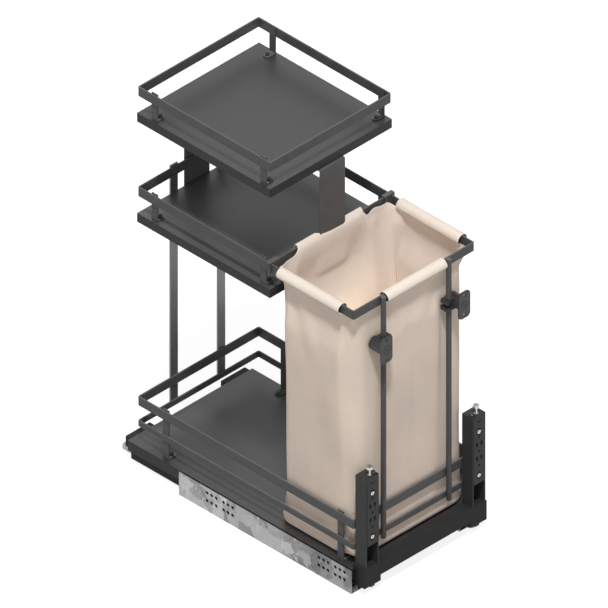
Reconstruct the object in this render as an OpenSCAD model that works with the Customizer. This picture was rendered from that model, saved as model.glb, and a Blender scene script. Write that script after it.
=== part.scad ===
// Pull-out organiser for a narrow base cabinet: a railed base tray on concealed full-extension
// runners, a cloth bag in front, a two-tier shelf tower behind it, and brackets for the door.
// Millimetres. Seen from the door: -Y is the front, +X is right, +Z is up.
// The origin is on the floor of the runners, midway across the width and the depth.

/* [Size] */
// Width over the two wings that screw to the cabinet's sides
overall_w = 262.4; // [256:0.2:300]
// Depth from the door's back face to the rear end of the runners
overall_d = 496; // [482:0.5:540]
// Height to the tips of the top shelf's uprights
overall_h = 668.8; // [658:0.2:684]

/* [Runners] */
// Length of the fixed cabinet member
runner_len = 350; // [300:10:400]
// Height of the wing
wing_h = 40; // [36:1:46]
// How far the runner's front end lies behind the door
runner_setback = 20; // [20:0.5:24]
// How far the middle member's front end lies behind the cabinet member's
middle_setback = 5; // [5:0.5:10]
// Sheet thickness of the runner members
runner_t = 1.2; // [1:0.1:1.4]
// Distance from the wing's outer face to the middle of the runner's core
core_inset = 27.2; // [26.8:0.1:30]
// Width over the drawer member
core_w = 32; // [30:0.5:33]
// Height of the middle member
middle_h = 15.6; // [15:0.1:18]
// Sheet thickness of the middle member
middle_t = 1.5; // [1.2:0.1:2]
// Diameter of the balls
ball_d = 4; // [3.6:0.1:4.4]
// Number of balls in a row
ball_count = 9; // [5:1:11]
// Length of the drawer member's end that shows behind the base board
tail_len = 17.5; // [14:0.5:30]
// Diameter of the screw holes in the wing
wing_hole_d = 5.6; // [4:0.1:6]
// Height of the lower row of screw holes
wing_row_z = 18; // [16:0.5:20]
// Distance between the two rows of screw holes
wing_row_gap = 13.4; // [10:0.1:14]
// Distance from hole to hole along a group of three
wing_hole_pitch = 9.2; // [8:0.1:10]
// Distance between the two groups of three
wing_group_pitch = 33.3; // [30:0.1:40]
// Distance from the wing's front end to its first hole
wing_hole_front = 14.5; // [10:0.5:20]
// Distance from the last hole to the wing's rear end
wing_hole_rear = 57; // [40:0.5:80]

/* [Base] */
// Distance from the wing's outer face to the base board's side edge
board_side_gap = 4.9; // [4:0.1:6]
// Thickness of the base board
board_t = 17.6; // [15:0.1:20]
// Distance from the door's back face to the base board
board_setback = 24; // [24:0.5:28]
// Bottom edge of the side profile
profile_z = 6; // [4:0.5:10]
// Width of a rear bracket
rear_bracket_w = 49; // [30:1:60]
// Depth of a rear bracket
rear_bracket_d = 9.9; // [6:0.1:12]
// Distance from the base board's side edge to a rear bracket
rear_bracket_inset = 5.3; // [4:0.1:20]
// Distance from the base board's side edge to the front panel's
panel_side_inset = 2.3; // [1:0.1:3]
// Top edge of the front panel
panel_top = 47.5; // [44:0.5:55]
// Bottom edge of the front panel between its corner blocks
panel_mid_z = 24.3; // [20:0.1:30]
// Bottom edge of the corner blocks
panel_low_z = 14.4; // [13.5:0.1:18]
// Width of a corner block
corner_w = 33; // [30:0.5:40]
// Sheet thickness of the front panel and the rear brackets
panel_t = 2; // [1.5:0.1:3]

/* [Rails] */
// Thickness of the flat bands
band_t = 2.5; // [2:0.1:3]
// Outer bend radius of the bands
band_r = 3; // [3:0.5:6]
// Distance from the base board's side edge to the rails' outer face
rail_side_inset = 3.4; // [2:0.1:4]
// Height of the upper base rail's band
upper_rail_h = 15.4; // [10:0.1:18]
// Top edge of the upper base rail above the board
upper_rail_rise = 83.9; // [70:0.1:110]
// Height of the lower base rail's band
lower_rail_h = 10; // [8:0.1:14]
// Top edge of the lower base rail above the board
lower_rail_rise = 42; // [34:0.5:50]
// Distance from the base board's rear edge to the rails' rear face
rail_inset = 16.2; // [14:0.1:20]
// Width of an upright strip
upright_w = 12; // [10:0.5:14]
// Thickness of an upright strip
upright_t = 2; // [1.5:0.1:2.5]
// Length of an upright's foot
foot_len = 18; // [16:0.5:20]
// Distance from the base board's front edge to the front uprights
base_upright_front = 29; // [25:0.5:40]
// Distance from the rails' rear face to the rear base uprights
base_upright_rear = 55; // [40:0.5:80]

/* [Shelves] */
// Distance from the base board's side edge to a shelf board's
shelf_side_inset = 2.5; // [1:0.1:3]
// Depth of a shelf board
shelf_d = 269.5; // [264:0.1:272]
// Thickness of a shelf board
shelf_t = 15.2; // [12:0.1:18]
// Distance from shelf to shelf
shelf_pitch = 176; // [150:1:200]
// Height of the shelf rail's band
shelf_rail_h = 16; // [12:0.5:20]
// Top edge of a shelf rail above its shelf
shelf_rail_rise = 45.8; // [44:0.1:50]
// Inset of a shelf rail from the shelf's side edges
shelf_rail_inset = 0.9; // [0.5:0.1:2]
// Distance from the shelf's front and rear edges to its uprights
shelf_upright_front = 17; // [14:0.5:30]
// Distance from the shelf's rear edge to its rear uprights
shelf_upright_rear = 32; // [20:0.5:50]
// Width of a post
post_w = 15; // [12:0.5:20]
// Thickness of a post
post_t = 3; // [2:0.1:3.5]
// Distance between the middles of two posts
post_pitch = 96; // [80:1:110]
// Width of a tower plate
tower_w = 50; // [30:1:60]
// Thickness of a tower plate
tower_t = 2.5; // [2:0.1:3]
// Gap between a tower plate and the shelf rail
tower_gap = 1.4; // [1:0.1:1.6]
// Length of a tower plate's flange
tower_flange = 36; // [30:0.5:50]

/* [Bag frame] */
// Height of the bag frame's band
frame_h = 15; // [12:0.5:16]
// Step from the shelf rail's top edge down to the bag frame's
frame_drop = 0.8; // [0.5:0.1:2]
// Diameter of the rods
rod_d = 8; // [6:0.1:8.4]
// Distance between the two rods
rod_pitch = 132.6; // [126:0.2:134]
// Length of a rod below the lower base rail
rod_tail = 3; // [1:0.5:8]
// Width of a saddle hook
hook_w = 20; // [18:0.5:24]
// How far a saddle hook stands out past the bag frame
hook_out = 4; // [2:0.5:5]
// Length of a saddle hook's rear leg
hook_leg = 10; // [6:0.5:14]
// Sheet thickness of a saddle hook
hook_t = 2; // [1.5:0.1:2.5]

/* [Door brackets] */
// Width of a column
column_w = 26; // [24:0.1:27]
// Depth of a column
column_d = 21.5; // [19:0.1:22]
// Distance from the base board's side edge to a column's outer face
column_inset = 5.2; // [4:0.1:8]
// Top of a column
column_top = 204; // [195:0.5:240]
// Sheet thickness of a column
column_t = 2; // [1.6:0.1:2.4]
// Length of a door plate
door_plate_len = 118; // [115:0.5:130]
// Thickness of a door plate
door_plate_t = 3; // [2.6:0.1:3.2]
// Distance from a door plate's top to its upper clamp screw
clamp_screw_drop = 28.4; // [27:0.1:30]
// Distance between the two clamp screws
clamp_screw_pitch = 76.2; // [72:0.1:77]
// Diameter of the clamp screws
clamp_screw_d = 3.8; // [3:0.1:4]
// Length of the clamp screws
clamp_screw_len = 12; // [10:0.5:14]
// Width of a door plate's slots
door_slot_w = 3.6; // [3:0.1:4]
// Height of a door plate's slots
door_slot_h = 9; // [7:0.5:10]
// Distance from a door plate's middle to its slots
door_slot_offset = 4.5; // [3.5:0.1:5]
// Distance from a door plate's top to its upper slots
door_slot_drop = 50; // [46:0.5:54]
// Distance from the upper slots to the lower ones
door_slot_pitch = 24.4; // [20:0.1:26]
// Diameter of a door plate's round holes
door_hole_d = 4; // [3:0.1:5]
// How far a door plate climbs and sinks
height_travel = 3; // [2:0.1:3]
// Diameter of a height screw
height_screw_d = 4; // [3:0.1:4.2]
// Diameter of a height screw's head
height_head_d = 10; // [8:0.1:11]
// Distance from a height screw's axis to the door plate's front face
height_screw_y = 6.5; // [6.3:0.1:7]

/* [Door clips] */
// Distance from the bag frame's top edge down to the clips' middle
clip_drop = 77; // [60:1:250]
// Distance from a rod's middle to its clip's
clip_offset = 12.6; // [11:0.1:14]
// Width of the clip's plate
clip_w = 23; // [21:0.1:24]
// Height of the clip's plate
clip_h = 46; // [44:0.5:52]
// Thickness of the clip's plate
clip_plate_t = 3; // [2.5:0.1:4]
// Diameter of the clip's boss
clip_boss_d = 21; // [18:0.1:22]
// Length of the clip's boss
clip_boss_len = 24.5; // [22:0.1:26]

/* [Bag] */
// Distance from the bag frame's outer face to the bag's side
bag_side_inset = 9.9; // [9:0.1:10.5]
// Corner radius of the bag
bag_r = 23; // [10:0.5:24]
// Radius of the bag's bottom edges
bag_bottom_r = 24; // [23:0.5:30]
// Thickness of the bag's closed solid
bag_t = 2; // [1.5:0.1:2.4]
// Outer radius of the sleeves round the bars
sleeve_r = 9.5; // [9.4:0.1:9.6]
// Distance from the bag frame's front to the side sleeves
side_sleeve_front = 23.3; // [16:0.1:30]
// Distance from the side sleeves to the bag frame's rear ends
side_sleeve_rear = 16.3; // [10:0.1:30]
// Length of the front sleeve
front_sleeve_len = 120; // [90:1:121]
// Length of each rear sleeve
rear_sleeve_len = 44; // [30:1:70]

/* [Hidden] */
$fn = 48;
left = -1;
right = 1;

steel = "#48494b";
side_steel = "#3a3b3d";
board_colour = "#515254";
plastic = "#2c2c2e";
zinc = "#a9abad";
bright = "#c9cbcd";
cloth = "#e2d3c0";

// Clearances
weld_gap = 0.05;
soft_gap = 0.3;
sheet_gap = 0.6;
run_gap = 0.05;

// Runner cross-section, from the floor up and from the wing inwards
cage_t = 0.7;
cage_gap = 0.5;
row_inset = 2.8;
track_lip = 1.3;
row_gap = 3.2;
cage_leg_t = 0.8;
middle_z = runner_t + 2 * cage_gap + cage_t;
middle_top = middle_z + middle_h;
drawer_top = middle_top + 2 * cage_gap + cage_t + runner_t;
lower_row_z = middle_z + row_inset;
upper_row_z = middle_top - row_inset;
core_x = -overall_w / 2 + core_inset;
row_x = core_w / 2 - runner_t - row_gap / 2;
middle_w = 2 * row_x - row_gap;
cage_margin = 7.5;
cage_len = runner_len / 2;
ball_pitch = (cage_len - 2 * cage_margin) / (ball_count - 1);
lower_cage_y = runner_setback + runner_len / 4;
upper_cage_y = lower_cage_y + middle_setback;
profile_x = core_x - core_w / 2 - sheet_gap - runner_t;

// Widths
board_w = overall_w - 2 * board_side_gap;
panel_w = board_w - 2 * panel_side_inset;
rail_w = board_w - 2 * rail_side_inset;
shelf_w = board_w - 2 * shelf_side_inset;
bag_w = rail_w - 2 * bag_side_inset;
rear_bracket_x = board_w / 2 - rear_bracket_inset - rear_bracket_w;
column_mid = board_w / 2 - column_inset - column_w / 2;
clip_x = rod_pitch / 2 + clip_offset;

// Depths, from the door's back face
board_d = overall_d - board_setback - tail_len;
board_rear = board_setback + board_d;
rail_rear = board_rear - rail_inset;
shelf_front = rail_rear - shelf_d;
front_post_inset = 4;
front_post_y = shelf_front + front_post_inset;
post_foot_len = 24;
frame_rear = shelf_front - hook_t - 2 * soft_gap;
rod_y = board_setback - rod_d / 2 - weld_gap;
panel_y = 0.5;

// Heights
upright_end = 2;
board_top = drawer_top + board_t;
upper_rail_top = board_top + upper_rail_rise;
lower_rail_top = board_top + lower_rail_rise;
top_top = overall_h - upright_end - shelf_rail_rise;
mid_top = top_top - shelf_pitch;
mid_rail_top = mid_top + shelf_rail_rise;
frame_top = mid_rail_top - frame_drop;
post_foot_z = lower_rail_top - lower_rail_h - 2;
post_end = 2.2;

// Screws
screw_d = 4;
screw_head_d = 7;
screw_head_h = 2.2;
screw_len = 10;
screw_play = 0.1;
tower_screw_y = tower_gap + tower_flange * 0.6;

// Middles of the holes along a wing
wing_hole_span = runner_len - wing_hole_front - wing_hole_rear - wing_group_pitch - 2 * wing_hole_pitch;
wing_hole_y = [for (far = [0, 1], group = [0, 1], n = [0 : 2])
  runner_setback + wing_hole_front + far * wing_hole_span + group * wing_group_pitch
  + n * wing_hole_pitch];

// Outer faces and places of the uprights, on the left
base_upright_x = -rail_w / 2 + band_t;
base_upright_y = [board_setback + base_upright_front, rail_rear - base_upright_rear];
shelf_upright_x = -shelf_w / 2 + shelf_rail_inset + band_t;
shelf_upright_y = [shelf_front + shelf_upright_front, rail_rear - shelf_upright_rear];

// Door brackets
plate_gap = 0.3;
door_plate_w = column_w - 2 * column_t - 2 * soft_gap;
door_plate_r = 2.5;
lid_y = door_plate_t + plate_gap;
clamp_z = [column_top - clamp_screw_drop, column_top - clamp_screw_drop - clamp_screw_pitch];
clamp_head_d = 6.4;
clamp_head_h = 1.6;
counterbore_t = 2;
post_spacer_d = 8;
collar_d = height_screw_d + 2;
collar_h = 1.5;
lug_gap = 0.7;
lug_z = column_top - column_t - plate_gap - collar_h - lug_gap - height_travel;
lug_d = 8;
lug_w = 10;
lug_h = 10.5;
wrench_slot_w = 2.4;
wrench_slot_drop = 9.9;

// Release levers
lever_pin_y = 11;
lever_pin_d = 4;
lever_t = 3.6;
lever_r = 6;
lever_arm_w = 8;
lever_front = 1.5;
lever_finger_len = 11;
lever_z = panel_low_z - plate_gap - lever_t;
pin_flange_t = 2.5;
pin_head_d = 12;
pin_rim = 1.5;

// Door clips
clip_z = frame_top - clip_drop;
clip_screw_gap = 17;
clip_screw_len = 12;
clip_head_d = 7;
clip_recess = 1.5;
clip_corner_r = 7;
jaw_wall = 3;
jaw_h = 18;
fork_gap = 6;
clip_ring_d = 14;
clip_ring_w = 1.6;
clip_ring_t = 0.8;

// Bag
bag_hang = 7.25;
bag_front = board_setback + band_t / 2 + bag_hang;
bag_rear = shelf_front + band_t / 2 - bag_hang;
bag_z = board_top + soft_gap;
sleeve_bore_r = frame_h / 2 + 0.9;
side_sleeve_y = board_setback + side_sleeve_front;
side_sleeve_len = frame_rear - side_sleeve_rear - side_sleeve_y;

module placed(side = left) {
  translate([0, -overall_d / 2, 0])
    if (side == right) mirror([1, 0, 0]) children();
    else children();
}

// Extrudes an X-Z outline along Y
module along_y(y, len) {
  translate([0, y + len, 0]) rotate([90, 0, 0]) linear_extrude(len) children();
}

// Extrudes a Y-Z outline along X
module along_x(x, len) {
  translate([x, 0, 0]) rotate([90, 0, 90]) linear_extrude(len) children();
}

module rounded_square(w, d, r) {
  square([w - 2 * r, d], center = true);
  square([w, d - 2 * r], center = true);
  for (sx = [-1, 1], sy = [-1, 1])
    translate([sx * (w / 2 - r), sy * (d / 2 - r)]) circle(r);
}

// A slot with round ends, upright in the sketch
module stadium(w, h) {
  square([w, h - w], center = true);
  for (s = [-1, 1])
    translate([0, s * (h - w) / 2]) circle(d = w);
}

// A closed flat band, bent round the four corners
module band_ring(w, front, rear, top, h) {
  d = rear - front;
  translate([0, (front + rear) / 2, top - h])
    linear_extrude(h)
      difference() {
        rounded_square(w, d, band_r);
        rounded_square(w - 2 * band_t, d - 2 * band_t, band_r - band_t);
      }
}

// A pan-head screw standing on z = 0, with its stem below
module pan_screw(d = screw_d, head_d = screw_head_d, head_h = screw_head_h, len = screw_len) {
  recess = head_d * 0.4;
  difference() {
    cylinder(d = head_d, h = head_h);
    for (size = [[recess, recess / 4], [recess / 4, recess]])
      translate([0, 0, head_h]) cube([size.x, size.y, head_h], center = true);
  }
  translate([0, 0, -len]) cylinder(d = d, h = len);
}

// An upright strip with a foot turned to the middle of the unit; its outer face is at x
module upright(x, y, z, top) {
  translate([x, y - upright_w / 2, z]) cube([upright_t, upright_w, top - z]);
  difference() {
    translate([x, y, z])
      linear_extrude(upright_t) {
        translate([0, -upright_w / 2]) square([foot_len - upright_w / 2, upright_w]);
        translate([foot_len - upright_w / 2, 0]) circle(d = upright_w);
      }
    foot_hole(x, y, z);
  }
}

// Middle of the screw in an upright's foot
function foot_screw_x(x) = x + foot_len - upright_w / 2;

module foot_hole(x, y, z) {
  translate([foot_screw_x(x), y, z - screw_len - 1])
    cylinder(d = screw_d + 2 * screw_play, h = screw_len + upright_t + 2);
}

// Runners

module ball_grooves(z) {
  for (s = [-1, 1])
    translate([core_x + s * row_x, z]) circle(d = ball_d + 2 * run_gap);
}

module cabinet_member(side) {
  upstand_top = lower_row_z + ball_d / 2 + track_lip;
  color(zinc) placed(side)
    difference() {
      along_y(runner_setback, runner_len)
        difference() {
          union() {
            translate([-overall_w / 2, 0]) square([runner_t, wing_h]);
            translate([-overall_w / 2, 0]) square([core_inset + core_w / 2, runner_t]);
            translate([core_x - core_w / 2, 0]) square([runner_t, upstand_top]);
            translate([core_x + core_w / 2 - runner_t, 0]) square([runner_t, upstand_top]);
          }
          ball_grooves(lower_row_z);
        }
      for (y = wing_hole_y, row = [0, 1])
        translate([-overall_w / 2 - 1, y, wing_row_z + row * wing_row_gap])
          rotate([0, 90, 0]) cylinder(d = wing_hole_d, h = runner_t + 2);
    }
}

module middle_member(side) {
  color(zinc) placed(side)
    along_y(runner_setback + middle_setback, runner_len - middle_setback)
      difference() {
        translate([core_x - middle_w / 2, middle_z]) square([middle_w, middle_h]);
        translate([core_x - middle_w / 2 + middle_t, middle_z - 1])
          square([middle_w - 2 * middle_t, middle_h - middle_t + 1]);
        ball_grooves(lower_row_z);
        ball_grooves(upper_row_z);
      }
}

module drawer_member(side) {
  leg_bottom = upper_row_z - ball_d / 2 - track_lip;
  color(zinc) placed(side)
    along_y(board_setback, board_d + tail_len)
      difference() {
        translate([core_x - core_w / 2, leg_bottom]) square([core_w, drawer_top - leg_bottom]);
        translate([core_x - core_w / 2 + runner_t, leg_bottom - 1])
          square([core_w - 2 * runner_t, drawer_top - leg_bottom - runner_t + 1]);
        ball_grooves(upper_row_z);
      }
}

// A bent strip with a pocket for each ball, and the balls in it
module ball_cage(cage_y, row_z, web_z, leg_end_z) {
  low = min(web_z, leg_end_z);
  high = max(web_z + cage_t, leg_end_z);
  ball_y = [for (n = [0 : ball_count - 1]) cage_y + cage_margin + n * ball_pitch];
  color(plastic)
    difference() {
      along_y(cage_y, cage_len)
        union() {
          translate([core_x - row_x, web_z]) square([2 * row_x, cage_t]);
          for (s = [-1, 1])
            translate([core_x + s * row_x - cage_leg_t / 2, low]) square([cage_leg_t, high - low]);
        }
      for (y = ball_y, s = [-1, 1])
        translate([core_x + s * row_x - cage_leg_t, y, row_z])
          rotate([0, 90, 0]) cylinder(d = ball_d + 2 * screw_play, h = 2 * cage_leg_t);
    }
  color(bright)
    for (y = ball_y, s = [-1, 1])
      translate([core_x + s * row_x, y, row_z]) sphere(d = ball_d);
}

module lower_cage(side) {
  placed(side)
    ball_cage(lower_cage_y, lower_row_z, runner_t + cage_gap, lower_row_z + ball_d / 2 + track_lip / 2);
}

module upper_cage(side) {
  placed(side)
    ball_cage(upper_cage_y, upper_row_z, middle_top + cage_gap, upper_row_z - ball_d / 2 - track_lip / 2);
}

// Base

module base_board() {
  color(board_colour) placed()
    difference() {
      translate([-board_w / 2, board_setback, drawer_top]) cube([board_w, board_d, board_t]);
      for (s = [left, right], y = base_upright_y)
        translate([s * foot_screw_x(base_upright_x), y, board_top - screw_len - 1])
          cylinder(d = screw_d + 2 * screw_play, h = screw_len + 2);
      for (s = [-1, 1])
        translate([s * post_pitch / 2, front_post_y + post_foot_len / 2, board_top - screw_len - 1])
          cylinder(d = screw_d + 2 * screw_play, h = screw_len + 2);
    }
}

module side_profile(side) {
  flange_w = (profile_x + board_w / 2) * 0.8;
  color(side_steel) placed(side)
    along_y(board_setback, board_d - panel_t)
      union() {
        translate([profile_x, profile_z]) square([runner_t, drawer_top - profile_z]);
        translate([profile_x - flange_w, drawer_top - runner_t]) square([flange_w + runner_t, runner_t]);
      }
}

module rear_bracket(side) {
  color(steel) placed(side)
    translate([-rear_bracket_x - rear_bracket_w, board_rear, drawer_top])
      difference() {
        cube([rear_bracket_w, rear_bracket_d, board_t]);
        translate([panel_t, panel_t, -1])
          cube([rear_bracket_w - 2 * panel_t, rear_bracket_d - 2 * panel_t, board_t - panel_t + 1]);
      }
}

module front_panel() {
  panel_d = board_setback - panel_y;
  color(steel) placed()
    difference() {
      along_y(panel_y, panel_d)
        union() {
          translate([-panel_w / 2, panel_mid_z]) square([panel_w, panel_top - panel_mid_z]);
          for (s = [-1, 1])
            translate([s * (panel_w / 2 - corner_w / 2) - corner_w / 2, panel_low_z])
              square([corner_w, panel_mid_z - panel_low_z]);
        }
      along_y(panel_y + panel_t, panel_d)
        union() {
          translate([-panel_w / 2 + panel_t, panel_mid_z - 1])
            square([panel_w - 2 * panel_t, panel_top - panel_mid_z - panel_t + 1]);
          for (s = [-1, 1])
            translate([s * (panel_w / 2 - corner_w / 2) - corner_w / 2 + panel_t, panel_low_z + panel_t])
              square([corner_w - 2 * panel_t, panel_top - panel_low_z - 2 * panel_t]);
        }
      for (s = [left, right])
        translate([s * core_x, lever_pin_y, panel_low_z - 1])
          cylinder(d = lever_pin_d + 2 * screw_play, h = panel_t + 2);
    }
}

// Base rails and posts

module base_rail_upper() {
  color(steel) placed() band_ring(rail_w, board_setback, rail_rear, upper_rail_top, upper_rail_h);
}

module base_rail_lower() {
  color(steel) placed() band_ring(rail_w, board_setback, rail_rear, lower_rail_top, lower_rail_h);
}

module base_uprights() {
  color(steel)
    for (s = [left, right], y = base_upright_y)
      placed(s) upright(base_upright_x, y, board_top, upper_rail_top + upright_end);
}

module base_screws() {
  color(bright)
    for (s = [left, right], y = base_upright_y)
      placed(s) translate([foot_screw_x(base_upright_x), y, board_top + upright_t]) pan_screw();
}

module rear_post(side) {
  color(steel) placed(side)
    translate([-post_pitch / 2 - post_w / 2, rail_rear, post_foot_z])
      cube([post_w, post_t, mid_rail_top + post_end - post_foot_z]);
}

module front_post(side) {
  underside = mid_top - shelf_t;
  color(steel) placed(side)
    difference() {
      translate([-post_pitch / 2 - post_w / 2, front_post_y, 0]) {
        translate([0, 0, board_top]) cube([post_w, post_t, underside - board_top]);
        translate([0, 0, board_top]) cube([post_w, post_foot_len, post_t]);
        translate([0, 0, underside - post_t]) cube([post_w, post_foot_len, post_t]);
      }
      for (z = [board_top, underside - post_t])
        translate([-post_pitch / 2, front_post_y + post_foot_len / 2, z - 1])
          cylinder(d = screw_d + 2 * screw_play, h = post_t + 2);
    }
}

module post_screws() {
  color(bright)
    for (s = [left, right])
      placed(s) translate([-post_pitch / 2, front_post_y + post_foot_len / 2, 0]) {
        translate([0, 0, board_top + post_t]) pan_screw();
        translate([0, 0, mid_top - shelf_t - post_t]) mirror([0, 0, 1]) pan_screw();
      }
}

// Shelves

module shelf_board(top) {
  difference() {
    translate([-shelf_w / 2, shelf_front, top - shelf_t]) cube([shelf_w, shelf_d, shelf_t]);
    for (s = [left, right], y = shelf_upright_y)
      translate([s * foot_screw_x(shelf_upright_x), y, top - screw_len - 1])
        cylinder(d = screw_d + 2 * screw_play, h = screw_len + 2);
    for (s = [-1, 1], y = tower_screw_places())
      translate([s * tower_w / 4, y, top - shelf_t - 1])
        cylinder(d = screw_d + 2 * screw_play, h = screw_len + 1);
  }
}

function tower_screw_places() = [shelf_front + tower_screw_y, rail_rear - tower_screw_y];

module mid_shelf() {
  color(board_colour) placed()
    difference() {
      shelf_board(mid_top);
      for (s = [-1, 1])
        translate([s * post_pitch / 2, front_post_y + post_foot_len / 2, mid_top - shelf_t - 1])
          cylinder(d = screw_d + 2 * screw_play, h = screw_len + 1);
    }
}

module top_shelf() {
  color(board_colour) placed() shelf_board(top_top);
}

module shelf_rail(top) {
  color(steel) placed()
    band_ring(shelf_w - 2 * shelf_rail_inset, shelf_front, rail_rear, top + shelf_rail_rise, shelf_rail_h);
}

module shelf_uprights(top) {
  color(steel)
    for (s = [left, right], y = shelf_upright_y)
      placed(s) upright(shelf_upright_x, y, top, top + shelf_rail_rise + upright_end);
}

module shelf_screws(top) {
  color(bright)
    for (s = [left, right], y = shelf_upright_y)
      placed(s) translate([foot_screw_x(shelf_upright_x), y, top + upright_t]) pan_screw();
}

// A plate outside the shelves with a flange under each; drawn for the front
module tower_plate() {
  low = mid_top - shelf_t;
  high = top_top - shelf_t;
  difference() {
    along_x(-tower_w / 2, tower_w)
      union() {
        translate([-tower_gap - tower_t, low - tower_t]) square([tower_t, high - low + tower_t]);
        for (z = [low, high])
          translate([-tower_gap - tower_t, z - tower_t]) square([tower_flange, tower_t]);
      }
    for (s = [-1, 1], z = [low, high])
      translate([s * tower_w / 4, tower_screw_y, z - tower_t - 1])
        cylinder(d = screw_d + 2 * screw_play, h = tower_t + 2);
  }
}

module tower_plate_front() {
  color(steel) placed() translate([0, shelf_front, 0]) tower_plate();
}

module tower_plate_rear() {
  color(steel) placed() translate([0, rail_rear, 0]) mirror([0, 1, 0]) tower_plate();
}

module tower_screws() {
  color(bright) placed()
    for (s = [-1, 1], y = tower_screw_places(), top = [mid_top, top_top])
      translate([s * tower_w / 4, y, top - shelf_t - tower_t]) mirror([0, 0, 1]) pan_screw();
}

// Bag frame, hooks and rods

module bag_frame() {
  color(steel) placed()
    intersection() {
      band_ring(rail_w, board_setback, rail_rear, frame_top, frame_h);
      translate([-rail_w, board_setback - 1, 0])
        cube([2 * rail_w, frame_rear - board_setback + 1, frame_top + 1]);
    }
}

// A strip bent over the shelf rail, welded to the end of the bag frame. Its rear leg is narrow,
// because it grips the straight part of the rail beside the bend.
module saddle_hook(side) {
  saddle_z = mid_rail_top + soft_gap;
  hook_x = -rail_w / 2 - hook_out;
  leg_x = -shelf_w / 2 + shelf_rail_inset + band_r + soft_gap;
  frame_low = frame_top - frame_h;
  color(steel) placed(side) {
    translate([hook_x, frame_rear, frame_low]) cube([hook_w, hook_t, saddle_z + hook_t - frame_low]);
    translate([hook_x, frame_rear, saddle_z])
      cube([hook_w, 2 * hook_t + band_t + 3 * soft_gap, hook_t]);
    translate([leg_x, shelf_front + band_t + soft_gap, saddle_z - hook_leg])
      cube([hook_x + hook_w - leg_x, hook_t, hook_leg + hook_t]);
  }
}

module rod(side) {
  low = lower_rail_top - lower_rail_h - rod_tail;
  color(steel) placed(side)
    translate([-rod_pitch / 2, rod_y, low]) cylinder(d = rod_d, h = frame_top - low);
}

// Door brackets

module column(side) {
  color(steel) placed(side)
    translate([-column_mid, 0, 0])
      difference() {
        union() {
          translate([-column_w / 2, panel_y, panel_top])
            difference() {
              cube([column_w, column_d, column_top - panel_top]);
              translate([column_t, -1, -1])
                cube([column_w - 2 * column_t, column_d - column_t + 1, column_top - panel_top + 2]);
            }
          translate([-column_w / 2, lid_y, column_top - column_t])
            cube([column_w, panel_y + column_d - lid_y, column_t]);
          for (z = clamp_z)
            translate([0, lid_y, z]) rotate([-90, 0, 0])
              cylinder(d = post_spacer_d, h = panel_y + column_d - lid_y - column_t);
        }
        translate([0, height_screw_y, column_top - column_t - 1])
          cylinder(d = height_screw_d + 2 * run_gap, h = column_t + 2);
        for (z = clamp_z)
          translate([0, 0, z]) rotate([-90, 0, 0])
            cylinder(d = clamp_screw_d + 2 * screw_play, h = column_d - column_t);
      }
}

// Two clamp screws that hold a door plate against its spacers
module clamp_screws(side) {
  head_y = counterbore_t - plate_gap;
  color(bright) placed(side)
    for (z = clamp_z)
      translate([-column_mid, head_y, z]) rotate([90, 0, 0])
        pan_screw(clamp_screw_d, clamp_head_d, clamp_head_h, clamp_screw_len);
}

// A black plug in the lid of each column
module column_plugs() {
  plug_d = 9;
  plug_h = 2.5;
  color(plastic)
    for (s = [left, right])
      placed(s)
        translate([-column_mid + column_w / 2 - plug_d / 2 - 1, lid_y + plug_d / 2, column_top]) {
          cylinder(d = plug_d, h = plug_h);
          translate([0, 0, plug_h]) cylinder(d1 = plug_d, d2 = plug_d - plug_h, h = plug_h / 2);
        }
}

module door_plate(side) {
  slot_len = 2 * height_travel + 2 * soft_gap;
  slot_z = column_top - door_slot_drop;
  color(side_steel) placed(side)
    translate([-column_mid, 0, 0])
      difference() {
        union() {
          along_y(0, door_plate_t)
            translate([0, column_top - door_plate_len / 2])
              rounded_square(door_plate_w, door_plate_len, door_plate_r);
          translate([-lug_w / 2, door_plate_t, lug_z - lug_h]) cube([lug_w, lug_d, lug_h]);
        }
        for (z = clamp_z) {
          along_y(-1, door_plate_t + 2)
            translate([0, z]) stadium(clamp_screw_d + 2 * soft_gap, clamp_screw_d + slot_len);
          along_y(-1, counterbore_t + 1)
            translate([0, z]) stadium(clamp_head_d + 2 * soft_gap, clamp_head_d + slot_len);
        }
        along_y(-1, door_plate_t + 2)
          union() {
            for (n = [0, 1], s = [-1, 1])
              translate([s * door_slot_offset, slot_z - n * door_slot_pitch])
                stadium(door_slot_w, door_slot_h);
            for (n = [-0.5 : 1 : 1.5])
              translate([0, slot_z - n * door_slot_pitch]) circle(d = door_hole_d);
          }
        along_y(-1, door_plate_t - 1)
          translate([0, column_top - wrench_slot_drop]) rotate(90) stadium(wrench_slot_w, door_slot_h);
        translate([0, height_screw_y, lug_z - lug_h - 1])
          cylinder(d = height_screw_d + 2 * run_gap, h = lug_h + 2);
      }
}

// A screw held in the column's lid by two collars; its thread lifts the door plate
module height_screw(side) {
  head_h = 4;
  neck = 12;
  reach = 20;
  color(bright) placed(side)
    translate([-column_mid, height_screw_y, column_top]) {
      translate([0, 0, -reach]) cylinder(d = height_screw_d, h = reach + neck);
      for (z = [plate_gap, -column_t - plate_gap - collar_h])
        translate([0, 0, z]) cylinder(d = collar_d, h = collar_h);
      difference() {
        translate([0, 0, neck]) cylinder(d = height_head_d, h = head_h);
        translate([0, 0, neck + head_h]) cube([height_head_d * 0.6, 1.2, head_h], center = true);
        translate([0, 0, neck + head_h]) cube([1.2, height_head_d * 0.6, head_h], center = true);
      }
    }
}

// Release levers

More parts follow.
